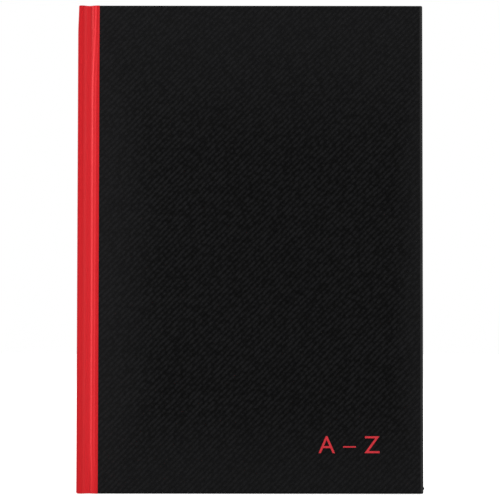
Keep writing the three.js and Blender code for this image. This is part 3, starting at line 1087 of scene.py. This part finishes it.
def ink():
    material, tree, shader, place = new_material("tab_ink", bends=True)
    wear_and_highlight = noise(tree, place, 3000.0)
    feed(tree, shader.inputs["Base Color"], mix_colour(tree, wear_and_highlight, screen(30, 30, 34), screen(52, 50, 54)))
    shader.inputs["Roughness"].default_value = 0.7
    return material


def text_mesh(words, size, thickness, spacing=1.0, slim=0.0):
    """Letters as a closed mesh in the XY plane, centred on the origin."""
    curve = bpy.data.curves.new("letters", "FONT")
    curve.body = words
    curve.size = size
    curve.extrude = thickness
    curve.offset = -slim
    curve.space_character = spacing
    curve.resolution_u = 6
    carrier = bpy.data.objects.new("letters", curve)
    bpy.context.scene.collection.objects.link(carrier)
    made = bpy.data.meshes.new_from_object(carrier.evaluated_get(bpy.context.evaluated_depsgraph_get()))
    bpy.data.objects.remove(carrier)
    bpy.data.curves.remove(curve)
    xs = [v.co.x for v in made.vertices]
    ys = [v.co.y for v in made.vertices]
    made.transform(Matrix.Translation((-(min(xs) + max(xs)) / 2, -(min(ys) + max(ys)) / 2, 0)))
    return made


def facing(side):
    """Turns a text that lies in the XY plane upright, to be read from the front or from the back."""
    upright = Matrix.Rotation(math.pi / 2, 4, "X")
    return upright if side == FRONT else Matrix.Rotation(math.pi, 4, "Z") @ upright


tab_ink = ink()
print("letters", LETTER_SIZE / MM, "mm high")

# %% Build the leaves of each letter
LETTERS = list("abcdefghijklmnopqrstuvw") + ["xyz"]
TAB = (leaf_high.z - leaf_low.z) / len(LETTERS)
MARGIN = 10 * MM
TAB_CORNER = 2 * MM


def pull_out_margin(bm, low, high, tab_tail):
    """Extrudes the fore-edge above the end of this letter's tab, and rounds the tab's lower corner."""
    cut_along(bm, 2, [tab_tail])
    edge = [f for f in bm.faces if all(near(v.co.x, high.x - MARGIN) for v in f.verts)
            and f.calc_center_median().z > tab_tail]
    made = bmesh.ops.extrude_face_region(bm, geom=edge)["geom"]
    verts = [v for v in made if isinstance(v, bmesh.types.BMVert)]
    bmesh.ops.delete(bm, geom=edge, context="FACES_ONLY")
    bmesh.ops.translate(bm, vec=(MARGIN, 0, 0), verts=verts)
    corner = [e for e in bm.edges if all(near(v.co.x, high.x) and near(v.co.z, tab_tail) for v in e.verts)]
    soften(bm, corner, TAB_CORNER, segments=4)


def print_letter(bm, letter, place, side):
    """Prints a letter on the tab: ink is a very thin solid that lies on the paper."""
    size = LETTER_SIZE if len(letter) == 1 else LETTER_SIZE * THREE_LETTERS
    mesh = text_mesh(letter.upper(), size, INK)
    mesh.transform(Matrix.Translation(place) @ facing(side))
    for polygon in mesh.polygons:
        polygon.material_index = 2
    bm.from_mesh(mesh)
    bpy.data.meshes.remove(mesh)


def letter_leaves(index):
    letter = LETTERS[index]
    low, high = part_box(f"leaves_{letter}")
    low.x = cloth_end
    tab_tail = leaf_high.z - (index + 1) * TAB
    last = index == len(LETTERS) - 1
    body_high = high.copy()
    if not last:
        body_high.x -= MARGIN
    bm = thin_sheet(low, body_high, steps(low.x, LEAF_BEND_END, LEAF_CUTS)[1:])
    if not last:
        pull_out_margin(bm, low, high, tab_tail)
    bm.normal_update()
    for face in bm.faces:
        face.material_index = 0 if abs(face.normal.y) > 0.9 else 1
    middle = Vector((high.x - MARGIN / 2, 0, tab_tail + TAB / 2))
    for side, y in ((FRONT, low.y - INK), (BACK, high.y + INK)):
        middle.y = y
        print_letter(bm, letter, middle, side)
    piece = finish_piece(f"{letter}_leaves", bm, [ruled, edges, tab_ink], crease=30.0)
    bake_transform(piece)
    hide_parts(f"leaves_{letter}")
    return piece


leaf_pieces = [letter_leaves(i) for i in range(len(LETTERS))]
print(len(leaf_pieces), "letters,", sum(len(p.data.polygons) for p in leaf_pieces), "faces")

# %% [markdown]
# ## The mark on the cover
# Low on the right of the front cover there is a small word in thin red foil. This book carries a plain
# A to Z in its place, which says what is inside and belongs to nobody. Foil lies on top of the ribs and
# shines a little more than the paper. Text becomes a mesh before it is put in its place.

# %% Stamp the mark
MARK_PLACE = Vector((61.3 * MM, 0, 30.3 * MM))
MARK_SIZE = 15.4 * MM
MARK_SPACING = 1.05
MARK_SLIM = 0.05 * MM
FOIL = 0.015 * MM


def red_foil():
    material, tree, shader, place = new_material("red_foil")
    rib = use_group(tree, ribs, Place=place, Pitch=RIB_PITCH, Hand=1.0)
    wear = remap(tree, noise(tree, place, 900.0, detail=4.0), 0.3, 0.7)
    tone = mix_colour(tree, wear, screen(188, 34, 46), screen(206, 42, 52))
    on_rib = calc(tree, "MULTIPLY", rib["Tone"], 0.2)
    feed(tree, shader.inputs["Base Color"], mix_colour(tree, on_rib, tone, screen(160, 30, 40)))
    feed(tree, shader.inputs["Roughness"], remap(tree, rib["Height"], 0.0, 1.0, 0.5, 0.4))
    shader.inputs["Specular IOR Level"].default_value = 0.25
    return material


def cover_mark():
    mesh = text_mesh("A – Z", MARK_SIZE, FOIL, spacing=MARK_SPACING, slim=MARK_SLIM)
    place = MARK_PLACE.copy()
    place.y = at_depth(FRONT, -FOIL / 2)
    mesh.transform(Matrix.Translation(place) @ facing(FRONT))
    bm = bmesh.new()
    bm.from_mesh(mesh)
    bpy.data.meshes.remove(mesh)
    piece = finish_piece("cover_mark", bm, [red_foil()])
    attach(piece, "front_cover")
    return piece


mark = cover_mark()
print("mark", [round(v / MM, 1) for v in mark.dimensions])

# %% [markdown]
# ## The frame's size
# The dressed book keeps within its frame, apart from the small ear at the tail corners. The frame's box
# is printed here.

# %% Print the frame's box
print("cad box", [round(v / MM, 2) for v in cad_high - cad_low])
